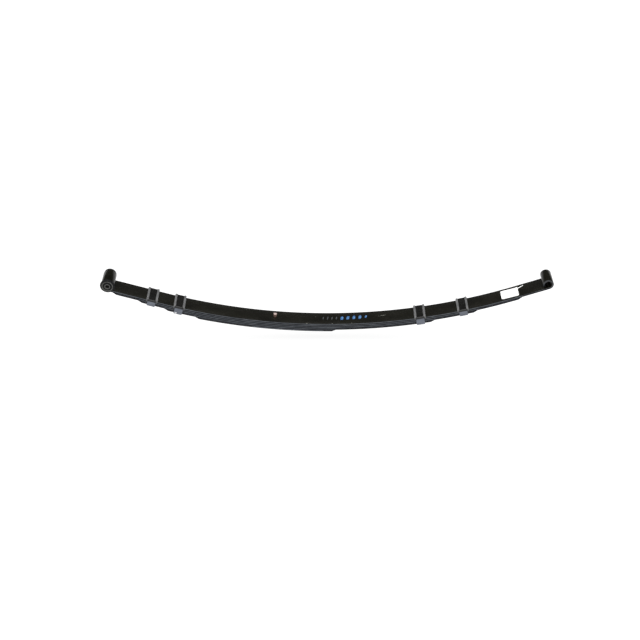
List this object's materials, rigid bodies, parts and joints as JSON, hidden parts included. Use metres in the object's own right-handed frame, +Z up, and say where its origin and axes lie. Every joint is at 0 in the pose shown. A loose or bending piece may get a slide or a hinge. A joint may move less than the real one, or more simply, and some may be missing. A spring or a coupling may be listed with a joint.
{
  "type": "leaf spring",
  "caption": "Semi-elliptic automotive leaf spring pack with upturned eyes, a rubber bushing in the front eye, an open rear shackle eye, folded strap clips and a centre bolt.",
  "frame": {"origin": "centre of the front eye, on its bushing's bolt axis at mid width", "axes": "+X from the front eye's centre to the rear eye's centre, +Y along the eye bore, +Z up, away from the axle side"},
  "size_m": [1.4454, 0.0776, 0.2063],
  "materials": {
    "leaf_paint": "gloss black paint",
    "clip_paint": "satin black paint",
    "liner_plastic": "matte grey",
    "bolt_steel": "zinc plated, part painted",
    "bushing_steel": "machined",
    "bushing_rubber": "matte",
    "tag_paper": "matte"
  },
  "bodies": {
    "seat": {"main_leaf_seat": "leaf_paint", "second_leaf_seat": "leaf_paint", "third_leaf_seat": "leaf_paint", "fourth_leaf_seat": "leaf_paint", "fifth_leaf_seat": "leaf_paint", "centre_bolt": "bolt_steel", "centre_nut": "bolt_steel"},
    "front_limb": {"main_leaf_front": "leaf_paint", "second_leaf_front": "leaf_paint", "third_leaf_front": "leaf_paint", "fourth_leaf_front": "leaf_paint", "fifth_leaf_front": "leaf_paint", "front_outer_clip_strap": "clip_paint", "front_outer_clip_liner": "liner_plastic", "front_outer_clip_rivet": "clip_paint", "front_inner_clip_strap": "clip_paint", "front_inner_clip_liner": "liner_plastic", "front_inner_clip_rivet": "clip_paint"},
    "front_eye": {"main_leaf_front_eye": "leaf_paint", "second_leaf_front_tip": "leaf_paint", "bushing_shell": "bushing_steel", "bushing_rubber": "bushing_rubber"},
    "bushing_core": {"bushing_sleeve": "bushing_steel"},
    "rear_limb": {"main_leaf_rear": "leaf_paint", "second_leaf_rear": "leaf_paint", "third_leaf_rear": "leaf_paint", "fourth_leaf_rear": "leaf_paint", "rear_inner_clip_strap": "clip_paint", "rear_inner_clip_liner": "liner_plastic", "rear_inner_clip_rivet": "clip_paint", "rear_outer_clip_strap": "clip_paint", "rear_outer_clip_liner": "liner_plastic", "rear_outer_clip_rivet": "clip_paint"},
    "rear_eye": {"main_leaf_rear_eye": "leaf_paint", "second_leaf_rear_tip": "leaf_paint", "paper_tag": "tag_paper"}
  },
  "joints": [
    {"name": "front_flex", "type": "hinge", "parent": "seat", "child": "front_limb", "pos_m": [0.35307, 0, -0.14643], "axis": [0, -1, 0], "range_deg": [0, 9.5], "stiffness_Nm_per_rad": 3650},
    {"name": "front_eye_flex", "type": "hinge", "parent": "front_limb", "child": "front_eye", "pos_m": [0.07204, 0, -0.05084], "axis": [0, -1, 0], "range_deg": [0, 4.2], "stiffness_Nm_per_rad": 1850},
    {"name": "rear_flex", "type": "hinge", "parent": "seat", "child": "rear_limb", "pos_m": [0.78749, 0, -0.17344], "axis": [0, 1, 0], "range_deg": [0, 14.5], "stiffness_Nm_per_rad": 1920},
    {"name": "rear_eye_flex", "type": "hinge", "parent": "rear_limb", "child": "rear_eye", "pos_m": [1.25695, 0, -0.07665], "axis": [0, 1, 0], "range_deg": [0, 6.1], "stiffness_Nm_per_rad": 1190},
    {"name": "bushing_twist", "type": "hinge", "parent": "front_eye", "child": "bushing_core", "pos_m": [0, 0, 0], "axis": [0, 1, 0], "range_deg": [-20, 20], "stiffness_Nm_per_rad": 40}
  ],
  "couplings": [
    {"joint": "front_eye_flex", "follows": "front_flex", "ratio": 0.44},
    {"joint": "rear_eye_flex", "follows": "rear_flex", "ratio": 0.414}
  ]
}
